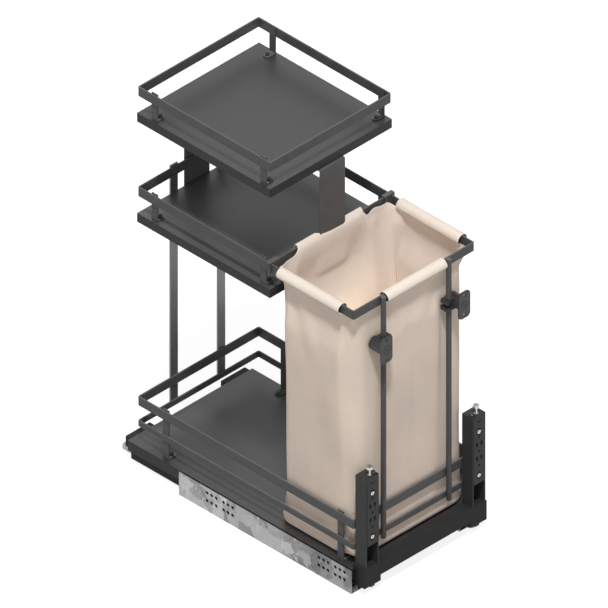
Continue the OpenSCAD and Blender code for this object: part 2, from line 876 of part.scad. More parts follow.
module release_lever(side) {
  color(plastic) placed(side)
    difference() {
      translate([core_x, lever_pin_y, lever_z])
        linear_extrude(lever_t) {
          circle(lever_r);
          translate([-lever_r, lever_front - lever_pin_y]) square([lever_arm_w, lever_pin_y - lever_front]);
          translate([0, -lever_arm_w / 2]) square([lever_finger_len, lever_arm_w]);
        }
      translate([core_x, lever_pin_y, lever_z - 1])
        cylinder(d = lever_pin_d + 2 * run_gap, h = lever_t + 2);
    }
}

// Shouldered pins that carry the levers under the corner blocks
module lever_pins() {
  pin_len = panel_low_z + panel_t - lever_z + plate_gap + pin_flange_t;
  color(zinc)
    for (s = [left, right])
      placed(s) translate([core_x, lever_pin_y, lever_z - plate_gap - pin_flange_t]) {
        cylinder(d = pin_head_d, h = pin_flange_t);
        cylinder(d = lever_pin_d, h = pin_len);
        translate([0, 0, pin_len]) cylinder(d = lever_pin_d + 2 * pin_rim, h = pin_flange_t);
      }
}

// Door clips

// A boss behind the plate and a jaw round the rod that ends in two prongs
module clip_body(side) {
  jaw_d = rod_d + 2 * jaw_wall;
  jaw_reach = clip_offset + rod_d / 2 + 2 * jaw_wall;
  color(plastic) placed(side)
    difference() {
      union() {
        translate([-clip_x, clip_plate_t, clip_z]) rotate([-90, 0, 0])
          cylinder(d = clip_boss_d, h = clip_boss_len);
        translate([-clip_x, rod_y - jaw_d / 2, clip_z - jaw_h / 2])
          cube([jaw_reach, jaw_d, jaw_h]);
      }
      translate([-rod_pitch / 2, rod_y, clip_z - clip_h])
        cylinder(d = rod_d + 2 * run_gap, h = 2 * clip_h);
      translate([-rod_pitch / 2 + rod_d / 4, rod_y - jaw_d, clip_z - fork_gap / 2])
        cube([jaw_reach, 2 * jaw_d, fork_gap]);
      translate([-clip_x, 0, clip_z]) rotate([-90, 0, 0])
        cylinder(d = screw_d + 2 * screw_play, h = clip_plate_t + clip_screw_len);
    }
}

module clip_plate(side) {
  color(plastic) placed(side)
    difference() {
      along_y(0, clip_plate_t)
        difference() {
          translate([-clip_x, clip_z]) rounded_square(clip_w, clip_h, clip_corner_r);
          for (s = [-1, 0, 1])
            translate([-clip_x, clip_z + s * clip_screw_gap]) circle(d = screw_d + 2 * screw_play);
        }
      translate([-clip_x, -1, clip_z]) rotate([-90, 0, 0])
        cylinder(d = clip_head_d + 2 * screw_play, h = 1 + clip_plate_t - clip_recess);
      along_y(-1, 1 + clip_ring_t) translate([-clip_x, clip_z])
        difference() {
          circle(d = clip_ring_d + clip_ring_w);
          circle(d = clip_ring_d - clip_ring_w);
        }
    }
}

module clip_screw(side) {
  head_h = 1.3;
  color(side_steel) placed(side)
    translate([-clip_x, clip_plate_t - clip_recess, clip_z]) rotate([90, 0, 0])
      pan_screw(screw_d, clip_head_d, head_h, clip_screw_len);
}

// Bag

module bag_block(inset) {
  w = bag_w - 2 * inset;
  d = bag_rear - bag_front - 2 * inset;
  top = frame_top - frame_h / 2;
  intersection() {
    translate([0, (bag_front + bag_rear) / 2, 0]) linear_extrude(top + 2 * inset)
      rounded_square(w, d, bag_r - inset);
    along_y(bag_front - 1, bag_rear - bag_front + 2)
      union() {
        for (s = [-1, 1])
          translate([s * (bag_w / 2 - bag_bottom_r), bag_z + bag_bottom_r]) circle(bag_bottom_r - inset);
        translate([-bag_w / 2 + bag_bottom_r, bag_z + inset])
          square([bag_w - 2 * bag_bottom_r, bag_bottom_r]);
        translate([-w / 2, bag_z + bag_bottom_r]) square([w, top + 2 * inset]);
      }
  }
}

module cross_sleeve(x, len, y, z, r) {
  translate([x, y, z]) rotate([0, 90, 0]) cylinder(r = r, h = len);
}

module bag_sleeves(r, extra) {
  side_z = frame_top - frame_h / 2;
  rear_z = mid_rail_top - shelf_rail_h / 2;
  for (s = [-1, 1]) {
    translate([s * (rail_w / 2 - band_t / 2), side_sleeve_y - extra, side_z]) rotate([-90, 0, 0])
      cylinder(r = r, h = side_sleeve_len + 2 * extra);
    cross_sleeve(s * (tower_w / 2 + 1.5 + rear_sleeve_len / 2) - rear_sleeve_len / 2 - extra,
      rear_sleeve_len + 2 * extra, shelf_front + band_t / 2, rear_z, r);
  }
  cross_sleeve(-front_sleeve_len / 2 - extra, front_sleeve_len + 2 * extra,
    board_setback + band_t / 2, side_z, r);
}

module laundry_bag() {
  color(cloth) placed()
    difference() {
      union() {
        difference() {
          bag_block(0);
          bag_block(bag_t);
        }
        bag_sleeves(sleeve_r, 0);
      }
      bag_sleeves(sleeve_bore_r, 1);
    }
}

cabinet_member(left);  // cabinet_member_left
cabinet_member(right);  // cabinet_member_right
middle_member(left);  // middle_member_left
middle_member(right);  // middle_member_right
lower_cage(left);  // lower_cage_left
lower_cage(right);  // lower_cage_right
upper_cage(left);  // upper_cage_left
upper_cage(right);  // upper_cage_right
drawer_member(left);  // drawer_member_left
drawer_member(right);  // drawer_member_right
base_board();
side_profile(left);  // side_profile_left
side_profile(right);  // side_profile_right
rear_bracket(left);  // rear_bracket_left
rear_bracket(right);  // rear_bracket_right
front_panel();
base_rail_upper();
base_rail_lower();
base_uprights();
base_screws();
rear_post(left);  // rear_post_left
rear_post(right);  // rear_post_right
front_post(left);  // front_post_left
front_post(right);  // front_post_right
post_screws();
mid_shelf();
shelf_rail(mid_top);  // mid_shelf_rail
shelf_uprights(mid_top);  // mid_shelf_uprights
shelf_screws(mid_top);  // mid_shelf_screws
top_shelf();
shelf_rail(top_top);  // top_shelf_rail
shelf_uprights(top_top);  // top_shelf_uprights
shelf_screws(top_top);  // top_shelf_screws
tower_plate_front();
tower_plate_rear();
tower_screws();
bag_frame();
saddle_hook(left);  // saddle_hook_left
saddle_hook(right);  // saddle_hook_right
rod(left);  // rod_left
rod(right);  // rod_right
laundry_bag();
column(left);  // column_left
column(right);  // column_right
clamp_screws(left);  // clamp_screws_left
clamp_screws(right);  // clamp_screws_right
column_plugs();
door_plate(left);  // door_plate_left
door_plate(right);  // door_plate_right
height_screw(left);  // height_screw_left
height_screw(right);  // height_screw_right
release_lever(left);  // release_lever_left
release_lever(right);  // release_lever_right
lever_pins();
clip_body(left);  // clip_body_left
clip_body(right);  // clip_body_right
clip_plate(left);  // clip_plate_left
clip_plate(right);  // clip_plate_right
clip_screw(left);  // clip_screw_left
clip_screw(right);  // clip_screw_right
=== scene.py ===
# %% [markdown]
# # A pull-out organiser for a narrow base cabinet
# This lesson dresses a finished CAD model for its portrait. The metal, the boards and the screws
# come from the CAD frame and keep their shapes; Blender rounds their edges and gives them their
# finishes. What CAD draws as a stiff shell, the cotton laundry bag, is modelled here again as
# cloth.

# %% The fixed frame and the boxes of its parts
import math

import bmesh
import bpy
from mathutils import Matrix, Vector, noise


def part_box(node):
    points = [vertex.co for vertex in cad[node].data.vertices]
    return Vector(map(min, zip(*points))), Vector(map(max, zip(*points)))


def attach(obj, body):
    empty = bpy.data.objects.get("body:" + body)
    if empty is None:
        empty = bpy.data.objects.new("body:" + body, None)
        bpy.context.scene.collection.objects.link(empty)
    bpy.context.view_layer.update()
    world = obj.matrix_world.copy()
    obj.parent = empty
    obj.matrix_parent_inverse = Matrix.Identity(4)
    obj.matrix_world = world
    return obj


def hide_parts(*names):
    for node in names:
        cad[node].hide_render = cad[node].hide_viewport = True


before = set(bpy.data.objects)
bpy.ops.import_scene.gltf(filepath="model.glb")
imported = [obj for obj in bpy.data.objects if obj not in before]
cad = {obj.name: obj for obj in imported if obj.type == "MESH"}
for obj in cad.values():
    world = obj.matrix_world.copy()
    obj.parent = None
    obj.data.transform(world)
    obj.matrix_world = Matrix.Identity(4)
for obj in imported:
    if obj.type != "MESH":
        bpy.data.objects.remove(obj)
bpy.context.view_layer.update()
mm = 0.001

# %% [markdown]
# ## The camera
# The picture is a true isometric: all three axes are equally short, which an orthographic camera
# gives at 45 degrees to the side and 35.26 degrees above. Placing it by its direction and the
# point it looks at keeps the two numbers that matter, the scale and the aim, easy to correct.

# %% Camera
azimuth = math.radians(-45)
elevation = math.radians(35.264)
aim = Vector((0, -0.0006, 0.3306))
camera_distance = 2.5
picture_width = 0.872
toward_camera = Vector((
    math.sin(azimuth) * math.cos(elevation),
    -math.cos(azimuth) * math.cos(elevation),
    math.sin(elevation),
))
bpy.ops.object.camera_add(location=aim + camera_distance * toward_camera)
camera = bpy.context.object
camera.name = "portrait_camera"
camera.rotation_euler = toward_camera.to_track_quat("Z", "Y").to_euler()
camera.data.type = "ORTHO"
camera.data.ortho_scale = picture_width
camera.data.clip_end = 10
bpy.context.scene.camera = camera
print("camera at", [round(v, 3) for v in camera.location])

# %% [markdown]
# ## A kit for node trees
# World, floor and every finish are small trees of nodes, and a tree is mostly two moves: add a
# node, plug it in. One helper does both, and a second joins the 0-or-1 answers that the Light
# Path node gives about a ray, such as whether it comes straight from the camera.

# %% Adding nodes
def add_node(tree, kind, links=(), **settings):
    """Adds a node; settings are its properties or inputs, links are (output socket, input name)."""
    node = tree.nodes.new(kind)
    for key, value in settings.items():
        if hasattr(node, key):
            setattr(node, key, value)
        else:
            node.inputs[key.replace("_", " ")].default_value = value
    for socket, name in links:
        tree.links.new(socket, node.inputs[name])
    return node


def any_of(tree, first, *others):
    """A socket that is 1 where any of the given sockets is 1."""
    for other in others:
        larger = add_node(tree, "ShaderNodeMath", [(first, 0), (other, 1)], operation="MAXIMUM")
        first = larger.outputs[0]
    return first


print("node helpers ready")

# %% [markdown]
# ## Light
# Dark powder coat and cream cotton need opposite care: the coat shows only what it reflects, the
# cotton burns out first. One fairly small lamp high above the left front corner draws the edge of
# each shadow under the bag's sleeves, and a broad pale surround keeps the dark steel readable. A
# small warm lamp inside the bag stands for the daylight that thin cotton lets through its walls.

# %% The surround
scene = bpy.context.scene
scene.view_settings.view_transform = "Standard"
surround = bpy.data.worlds.new("studio_surround")
surround.use_nodes = True
scene.world = surround
tree = surround.node_tree
tree.nodes.clear()
ray = add_node(tree, "ShaderNodeLightPath").outputs
seen = any_of(tree, ray["Is Camera Ray"], ray["Is Glossy Ray"], ray["Is Transmission Ray"])
pale_light = add_node(tree, "ShaderNodeBackground", Color=(1.0, 0.985, 0.965, 1), Strength=0.43)
white_sight = add_node(tree, "ShaderNodeBackground", Color=(1, 1, 1, 1), Strength=1.0)
either = add_node(tree, "ShaderNodeMixShader", [
    (seen, 0), (pale_light.outputs[0], 1), (white_sight.outputs[0], 2)])
add_node(tree, "ShaderNodeOutputWorld", [(either.outputs[0], "Surface")])
print("surround lit, nodes:", len(tree.nodes))


# %% Lamps
sun_distance = 3


def shine_from(lamp, direction):
    """Turns a lamp so that its light comes from the given direction."""
    lamp.rotation_euler = Vector(direction).to_track_quat("Z", "Y").to_euler()


def add_sun(name, direction, strength, softness, colour):
    """A sun lamp that shines from the given direction; softness is its angle in degrees."""
    bpy.ops.object.light_add(type="SUN", location=Vector(direction) * sun_distance)
    lamp = bpy.context.object
    lamp.name = name
    shine_from(lamp, direction)
    lamp.data.energy = strength
    lamp.data.angle = math.radians(softness)
    lamp.data.color = colour


add_sun("key_lamp", (-0.29, -0.30, 0.91), 2.1, 5, (1.0, 0.985, 0.965))
add_sun("low_fill", (-0.75, -0.85, 0.12), 0.45, 50, (1.0, 0.97, 0.93))

bpy.ops.object.light_add(type="AREA", location=(-0.02, -0.165, 0.352))
bag_glow = bpy.context.object
bag_glow.name = "bag_glow"
shine_from(bag_glow, (-0.16, -0.45, 0.86))
bag_glow.data.size = 0.06
bag_glow.data.energy = 0.11
bag_glow.data.color = (1.0, 0.87, 0.71)
bag_glow.visible_camera = False
bag_glow.visible_glossy = False

# %% [markdown]
# ## Floor
# A studio floor has to vanish into the white background and yet take the object's shadow. So the
# paint is a dull grey that receives light and shadow, plus a glow that only the camera and glossy
# reflections see. The grey keeps the floor from lighting the object's underside too much.

# %% Floor
floor_grey = (0.34, 0.34, 0.34, 1)
floor_lift = 0.85
bpy.ops.mesh.primitive_plane_add(size=8, location=(0, 0, -0.5 * mm))
floor = bpy.context.object
floor.name = "floor"
floor_paint = bpy.data.materials.new("floor_paint")
floor_paint.use_nodes = True
tree = floor_paint.node_tree
tree.nodes.clear()
ray = add_node(tree, "ShaderNodeLightPath").outputs
seen = any_of(tree, ray["Is Camera Ray"], ray["Is Glossy Ray"])
level = add_node(tree, "ShaderNodeMath", [(seen, 0)], operation="MULTIPLY")
level.inputs[1].default_value = floor_lift
matt = add_node(tree, "ShaderNodeBsdfDiffuse", Color=floor_grey)
glow = add_node(tree, "ShaderNodeEmission", [(level.outputs[0], "Strength")], Color=(1, 1, 1, 1))
both = add_node(tree, "ShaderNodeAddShader", [(matt.outputs[0], 0), (glow.outputs[0], 1)])
add_node(tree, "ShaderNodeOutputMaterial", [(both.outputs[0], "Surface")])
floor.data.materials.append(floor_paint)
print("floor laid")

# %% [markdown]
# ## A kit for finishes
# Every finish is one Principled shader with a few textures in front of its colour, roughness and
# normal. They all read Object coordinates, so a pattern stays put on its piece, and because each
# piece's origin is the frame's, one metre in the texture is one metre on the object. The helpers
# keep the cells that follow short: each gives back the socket that the next one needs.

# %% Finish helpers
def start_finish(name, colour, roughness, metallic=0.0):
    """A new material: returns it, its node tree and its Principled shader."""
    finish = bpy.data.materials.new(name)
    finish.use_nodes = True
    tree = finish.node_tree
    shader = tree.nodes["Principled BSDF"]
    shader.inputs["Base Color"].default_value = (*colour, 1)
    shader.inputs["Roughness"].default_value = roughness
    shader.inputs["Metallic"].default_value = metallic
    tree.nodes.new("ShaderNodeTexCoord").name = "place"
    return finish, tree, shader


def place_in(tree):
    """The Object coordinates of a finish."""
    return tree.nodes["place"].outputs["Object"]


def speckles(tree, scale, detail):
    """A grey noise; scale is about how many blots fit in a metre."""
    cloud = add_node(
        tree, "ShaderNodeTexNoise", [(place_in(tree), "Vector")], Scale=scale, Detail=detail)
    return cloud.outputs["Fac"]


def ramp_between(tree, socket, low, high, start=0.0, end=1.0):
    """A colour from low to high while a grey value goes from start to end."""
    ramp = add_node(tree, "ShaderNodeValToRGB", [(socket, "Fac")])
    for stop, position, colour in zip(ramp.color_ramp.elements, (start, end), (low, high)):
        stop.position = position
        stop.color = (*colour, 1)
    return ramp.outputs["Color"]


def spread_between(tree, socket, low, high, start=0.0, end=1.0):
    """A value from low to high while another goes from start to end."""
    spread = add_node(tree, "ShaderNodeMapRange", [(socket, "Value")])
    for name, value in (("From Min", start), ("From Max", end), ("To Min", low), ("To Max", high)):
        spread.inputs[name].default_value = value
    return spread.outputs["Result"]


def multiplied(tree, first, second):
    """The product of two colour sockets."""
    product = add_node(
        tree, "ShaderNodeVectorMath", [(first, 0), (second, 1)], operation="MULTIPLY")
    return product.outputs["Vector"]


def blend_colours(tree, factor, first, second):
    """A colour mix of two sockets; factor is a socket or a number."""
    mix = add_node(tree, "ShaderNodeMix", [(first, 6), (second, 7)], data_type="RGBA")
    if isinstance(factor, float):
        mix.inputs[0].default_value = factor
    else:
        tree.links.new(factor, mix.inputs[0])
    return mix.outputs[2]


def add_bump(tree, shader, height, strength, distance):
    """Plugs a height into the shader's normal through a bump node."""
    bump = add_node(
        tree, "ShaderNodeBump", [(height, "Height")], Strength=strength, Distance=distance)
    tree.links.new(bump.outputs["Normal"], shader.inputs["Normal"])


def dress(tree, shader, colour, roughness=None):
    """Plugs a colour, and a roughness if there is one, into the shader."""
    tree.links.new(colour, shader.inputs["Base Color"])
    if roughness is not None:
        tree.links.new(roughness, shader.inputs["Roughness"])


print("finish helpers ready")

# %% [markdown]
# ## Anthracite powder coat
# Powder melts into a skin with a fine orange-peel texture. From a distance it is an even dark
# grey; up close light catches its tiny hills. Faces that look up are painted a little paler: a
# painted highlight for the light from above. A fine noise gives the hills, a broad one a hint of
# uneven gloss. The low steel and the columns are darker coats of their own; the tower plates'
# coat is paler, painted light that makes up for the shade under the top shelf.

# %% Powder coat
def upward(tree, start, end):
    """0 on walls and 1 on faces that look up, read from the piece's own normals."""
    normal = tree.nodes["place"].outputs["Normal"]
    turned = add_node(tree, "ShaderNodeSeparateXYZ", [(normal, "Vector")])
    return spread_between(tree, turned.outputs["Z"], 0.0, 1.0, start, end)


def powder_coat(name, dark, pale, edge, specular):
    """An orange-peel coat whose faces that look up are painted paler: a painted highlight from
    above.
    """
    finish, tree, shader = start_finish(name, dark, 0.5)
    cloud = speckles(tree, 38.0, 3.0)
    shade = ramp_between(tree, cloud, dark, pale, 0.3, 0.72)
    # Faces that look up get a paler tone: a painted highlight for the light from above.
    painted_top_highlight = ramp_between(tree, cloud, edge, tuple(1.25 * c for c in edge), 0.3, 0.72)
    colour = blend_colours(tree, upward(tree, 0.3, 0.9), shade, painted_top_highlight)
    dress(tree, shader, colour, spread_between(tree, cloud, 0.36, 0.52))
    add_bump(tree, shader, speckles(tree, 900.0, 2.0), 0.22, 0.4 * mm)
    shader.inputs["Specular IOR Level"].default_value = specular
    return finish


anthracite = powder_coat(
    "anthracite_coat",
    (0.074, 0.075, 0.077), (0.088, 0.089, 0.091), (0.12, 0.121, 0.123), 0.16)
anthracite_low = powder_coat(
    "anthracite_base_coat",
    (0.018, 0.0185, 0.019), (0.023, 0.0235, 0.024), (0.028, 0.0285, 0.029), 0.08)
anthracite_column = powder_coat(
    "anthracite_column_coat",
    (0.036, 0.037, 0.038), (0.043, 0.044, 0.045), (0.036, 0.037, 0.038), 0.12)
# Paler than the other coats: painted light that makes up for the shade under the top shelf.
plate_coat_painted_light = powder_coat(
    "tower_plate_coat_painted_light",
    (0.085, 0.086, 0.088), (0.098, 0.099, 0.101), (0.10, 0.101, 0.103), 0.2)
print("powder coats made")

# %% [markdown]
# ## Shelf boards
# The shelves are melamine-faced boards: a printed paper under a hard matt resin with a fine
# pebbled press texture. The tops look paler than the steel because the broad surround reflects in
# them. The middle board lies in the shade of the upper one, and its top is painted paler: painted
# light that makes up for that shade.

# %% Board facing
def board_facing(name, top_dark, top_pale):
    """A pebbled melamine top over duller, darker edge bands."""
    finish, tree, shader = start_finish(name, top_dark, 0.42)
    top_mask = upward(tree, 0.4, 0.8)
    print_grain = speckles(tree, 700.0, 4.0)
    top_tone = ramp_between(tree, print_grain, top_dark, top_pale, 0.35, 0.65)
    band_tone = ramp_between(
        tree, print_grain, (0.030, 0.0302, 0.031), (0.036, 0.0363, 0.037), 0.35, 0.65)
    tone = blend_colours(tree, top_mask, band_tone, top_tone)
    dress(tree, shader, tone, spread_between(tree, speckles(tree, 5.0, 3.0), 0.34, 0.44))
    tree.links.new(spread_between(tree, top_mask, 0.12, 0.75), shader.inputs["Specular IOR Level"])
    pebble = add_node(tree, "ShaderNodeTexVoronoi", [(place_in(tree), "Vector")], Scale=950.0)
    add_bump(tree, shader, pebble.outputs["Distance"], 0.08, 0.3 * mm)
    return finish


board_face = board_facing("board_facing", (0.030, 0.0303, 0.031), (0.038, 0.0383, 0.039))
# The middle board's top colour is paler: painted light that makes up for the upper board's shade.
mid_board_painted_light = board_facing("mid_board_facing_painted_light", (0.066, 0.0663, 0.067), (0.075, 0.0753, 0.076))
print("board facings made")

# %% [markdown]
# ## Galvanised sheet
# Molten zinc freezes into flat crystals, the spangle: patches of about a centimetre that catch
# the light at different strengths. Voronoi cells give each crystal its own grey and its own
# polish, and a noise bends the coordinates first, so that the crystals' edges aren't straight.
# The sheet is darker toward its front end.

# %% Galvanised sheet
galvanised, tree, shader = start_finish("galvanised_sheet", (0.5, 0.5, 0.51), 0.38, 0.7)
warp = add_node(tree, "ShaderNodeTexNoise", [(place_in(tree), "Vector")], Scale=75.0, Detail=4.0)
warped = add_node(tree, "ShaderNodeVectorMath", [
    (warp.outputs["Color"], 0), (place_in(tree), 2)], operation="MULTIPLY_ADD")
warped.inputs[1].default_value = (0.030, 0.030, 0.030)


def crystals(scale):
    """The separate greys of Voronoi cells on the bent coordinates."""
    cells = add_node(
        tree, "ShaderNodeTexVoronoi", [(warped.outputs["Vector"], "Vector")], Scale=scale)
    return add_node(tree, "ShaderNodeSeparateColor", [(cells.outputs["Color"], "Color")]).outputs


coarse = crystals(46.0)
fine = crystals(150.0)
coarse_tone = ramp_between(tree, coarse["Red"], (0.17, 0.173, 0.176), (0.56, 0.565, 0.57))
fine_tone = ramp_between(tree, fine["Red"], (0.24, 0.243, 0.246), (0.44, 0.445, 0.45))
zinc_tone = blend_colours(tree, 0.3, coarse_tone, fine_tone)
lengthwise = add_node(tree, "ShaderNodeSeparateXYZ", [(place_in(tree), "Vector")])
# The tone is scaled from 0.72 at the front end to 1.10 at the rear, so the sheet is darker toward
# the front.
front_darkening = spread_between(tree, lengthwise.outputs["Y"], 0.72, 1.10, -0.20, 0.05)
zinc_polish = spread_between(tree, coarse["Green"], 0.32, 0.55)
dress(tree, shader, multiplied(tree, zinc_tone, front_darkening), zinc_polish)
add_bump(tree, shader, speckles(tree, 700.0, 3.0), 0.1, 0.2 * mm)
print("galvanised sheet made")

# %% [markdown]
# ## Brushed posts
# The two rear posts are drawn bars whose scratches run along them, so they catch the light as
# long faint streaks. A noise that is stretched seventy-five times along the post makes those
# streaks, and it drives the tone, the polish and a shallow bump together, as one scratch does on
# a real bar.

# %% Brushed posts
brushed, tree, shader = start_finish("brushed_dark_steel", (0.2, 0.2, 0.202), 0.36, 0.75)
stretch = add_node(tree, "ShaderNodeMapping", [(place_in(tree), "Vector")])
stretch.inputs["Scale"].default_value = (900, 900, 12)
streaks = add_node(
    tree, "ShaderNodeTexNoise", [(stretch.outputs["Vector"], "Vector")], Scale=1.0, Detail=3.0)
scratches = streaks.outputs["Fac"]
streak_tone = ramp_between(tree, scratches, (0.17, 0.17, 0.172), (0.23, 0.23, 0.232), 0.3, 0.7)
dress(tree, shader, streak_tone, spread_between(tree, scratches, 0.30, 0.46))
add_bump(tree, shader, scratches, 0.06, 0.2 * mm)
print("brushed steel made")

# %% [markdown]
# ## Plated screws and moulded plastic
# Bright screws are zinc plated and turned, so fine rings of the lathe blur their reflection; the
# dark ones are plated black. The clips and levers are black nylon with the soft sparkle of an
# eroded mould.

# %% Screws and plastic
plated, tree, shader = start_finish("bright_plating", (0.72, 0.73, 0.74), 0.22, 1.0)
rings = speckles(tree, 420.0, 3.0)
plate_tone = ramp_between(tree, rings, (0.42, 0.425, 0.43), (0.66, 0.66, 0.655), 0.3, 0.7)
dress(tree, shader, plate_tone, spread_between(tree, rings, 0.14, 0.36))

black_plated, tree, shader = start_finish("black_plating", (0.035, 0.035, 0.037), 0.3, 0.6)
soot = speckles(tree, 300.0, 3.0)
soot_tone = ramp_between(tree, soot, (0.024, 0.024, 0.026), (0.055, 0.055, 0.057))
dress(tree, shader, soot_tone, spread_between(tree, soot, 0.24, 0.45))

nylon, tree, shader = start_finish("black_nylon", (0.02, 0.021, 0.024), 0.42)
flow = speckles(tree, 90.0, 2.0)
nylon_tone = ramp_between(tree, flow, (0.016, 0.017, 0.020), (0.030, 0.031, 0.035))
dress(tree, shader, nylon_tone, spread_between(tree, flow, 0.34, 0.50))
add_bump(tree, shader, speckles(tree, 1400.0, 2.0), 0.15, 0.3 * mm)
print("screw and plastic finishes made")

# %% [markdown]
# ## Unbleached cotton
# The bag is a plain-weave canvas: threads over and under each other about every 0.8 mm,
# washed-out cream with slightly darker flecks. Two crossed waves on Object coordinates make the
# weave on walls that face any side, and a little sheen gives the dusty edge that cotton has. The
# bag's inside is painted greyer, to offset the warm light that bounces about in it: a face is
# inside when it looks toward the bag's middle. Toward the floor the cotton is painted darker, a
# painted shade for the light that the board and the floor keep from the lower walls.

# %% Cotton
bag_middle_y = -0.138
inside_edge = 4 * mm


def looks_in(tree):
    """A socket that is 1 where a face looks toward the bag's upright middle line, else 0."""
    from_middle = add_node(
        tree, "ShaderNodeVectorMath", [(place_in(tree), 0)], operation="MULTIPLY_ADD")
    from_middle.inputs[1].default_value = (1, 1, 0)
    from_middle.inputs[2].default_value = (0, -bag_middle_y, 0)
    face = add_node(tree, "ShaderNodeNewGeometry")
    outward = add_node(tree, "ShaderNodeVectorMath", [
        (from_middle.outputs["Vector"], 0), (face.outputs["Normal"], 1)], operation="DOT_PRODUCT")
    return spread_between(tree, outward.outputs["Value"], 0.0, 1.0, inside_edge, -inside_edge)


def cotton_cloth(name, dark, pale, floor_shade, bounce_tint):
    """Plain-weave cotton; its colour is scaled down toward the floor, a painted shade, and the
    inside is tinted to offset the warm light bounced in the bag.
    """
    finish, tree, shader = start_finish(name, dark, 0.92)
    place = place_in(tree)
    warp_threads = add_node(
        tree, "ShaderNodeTexWave", [(place, "Vector")], Scale=620.0, bands_direction="DIAGONAL")
    weft_threads = add_node(
        tree, "ShaderNodeTexWave", [(place, "Vector")], Scale=400.0, bands_direction="Z")
    weave = add_node(tree, "ShaderNodeMath", [
        (warp_threads.outputs["Fac"], 0), (weft_threads.outputs["Fac"], 1)], operation="MULTIPLY")
    tone = ramp_between(tree, speckles(tree, 9.0, 3.0), dark, pale, 0.3, 0.7)
    fleck = ramp_between(
        tree, speckles(tree, 420.0, 4.0), (0.975, 0.97, 0.965), (1.01, 1.01, 1.01), 0.3, 0.6)
    height = add_node(tree, "ShaderNodeSeparateXYZ", [(place, "Vector")])
    # Darker toward the floor: painted shade for the light that the board and the floor keep from
    # the lower walls.
    painted_floor_shade = spread_between(tree, height.outputs["Z"], floor_shade, 1.0, 0.05, 0.44)
    outside = multiplied(tree, multiplied(tree, tone, fleck), painted_floor_shade)
    # The inside gets a greyer, cooler tint: painted colour that offsets the warm light bouncing
    # inside the bag.
    inside = add_node(tree, "ShaderNodeVectorMath", [(outside, 0)], operation="MULTIPLY")
    inside.inputs[1].default_value = bounce_tint
    dress(tree, shader, blend_colours(tree, looks_in(tree), outside, inside.outputs["Vector"]))
    add_bump(tree, shader, weave.outputs["Value"], 0.35, 0.4 * mm)
    shader.inputs["Sheen Weight"].default_value = 0.12
    shader.inputs["Sheen Roughness"].default_value = 0.5
    return finish


cotton = cotton_cloth(
    "unbleached_cotton", (0.83, 0.695, 0.61), (0.915, 0.775, 0.655), 0.86, (0.97, 1.03, 1.085))
# The sleeves are the walls' own cloth in a paler copy: painted light for their tops under the lamp
# above.
lit_sleeve_cotton = cotton_cloth(
    "sleeve_cotton_painted_light", (0.89, 0.79, 0.70), (0.92, 0.825, 0.74), 1.0, (1, 1, 1))
print("cotton made")

# %% [markdown]
# ## Finishes and soft edges for the CAD pieces
# CAD edges are perfectly sharp, and nothing in a kitchen is. A Weld modifier joins the loose
# triangles that CAD exports, and a Bevel after it rounds only the edges sharper than 35 degrees,
# so holes and bends keep their faces. Each family gets the radius its real edge has; the ball
# cages are moulded finer than a bevel and stay as they are. A table from words in the names to
# finishes and radii makes one family one line.

# %% Which finish each family has
families = (
    (("rail", "uprights"), anthracite, 0.4),
    (("cabinet_member", "middle_member", "drawer_member"), galvanised, 0.25),
    (("lever_pins",), galvanised, 0.2),
    (("clip_body", "clip_plate", "release_lever"), nylon, 0.6),
    (("cage", "column_plugs"), nylon, 0.15),
    (("height_screw", "clamp_screws"), plated, 0.3),
    (("screw",), black_plated, 0.2),
    (("mid_shelf",), mid_board_painted_light, 0.5),
    (("base_board", "top_shelf"), board_face, 0.5),
    (("rear_post",), brushed, 0.4),
    (("column", "door_plate"), anthracite_column, 0.35),
    (("front_panel", "side_profile", "rear_bracket"), anthracite_low, 0.35),
    (("tower_plate",), plate_coat_painted_light, 0.4),
)


def finish_of(name):
    """The finish and edge radius, in millimetres, of a node; the first family it fits counts."""
    for words, finish, radius_mm in families:
        if any(word in name for word in words):
            return finish, radius_mm
    return anthracite, 0.4


def soften(piece, radius_mm):
    """Welds a CAD piece's triangles and rounds its sharp edges."""
    weld = piece.modifiers.new("weld", "WELD")
    weld.merge_threshold = 0.01 * mm
    bevel = piece.modifiers.new("edge_radius", "BEVEL")
    bevel.width = radius_mm * mm
    bevel.segments = 2
    bevel.limit_method = "ANGLE"
    bevel.angle_limit = math.radians(35)


for name, piece in cad.items():
    finish, radius_mm = finish_of(name)
    piece.data.materials.clear()
    piece.data.materials.append(finish)
    if "cage" not in name:
        soften(piece, radius_mm)
print("finished CAD pieces:", len(cad))

# %% [markdown]
# ## Modelling helpers
# An operator works on everything that is selected, and loading leaves the CAD pieces selected. So
# each piece starts from an empty selection, and faces or edges are picked in code by where they
# are. Cloth is modelled as a sheet; Solidify gives it its thickness last, and one level of
# subdivision rounds its edges. Both modifiers are applied, so that the finished piece is plain
# geometry.

# %% Selecting and finishing
def nothing_selected():
    """Leaves edit mode and empties the selection."""
    if bpy.context.mode != "OBJECT":
        bpy.ops.object.mode_set(mode="OBJECT")
    bpy.ops.object.select_all(action="DESELECT")


def take(piece):
    """Makes piece the only selected and active object."""
    nothing_selected()
    piece.select_set(True)
    bpy.context.view_layer.objects.active = piece


def pick(piece, what, wanted):
    """In edit mode, selects only the "faces" or "edges" for which wanted(element) is true."""
    bpy.context.tool_settings.mesh_select_mode = (False, what == "edges", what == "faces")
    shape = bmesh.from_edit_mesh(piece.data)
    for group in (shape.verts, shape.edges, shape.faces):
        for element in group:
            element.select = False
    for element in getattr(shape, what):
        if wanted(element):
            element.select_set(True)
    bmesh.update_edit_mesh(piece.data)


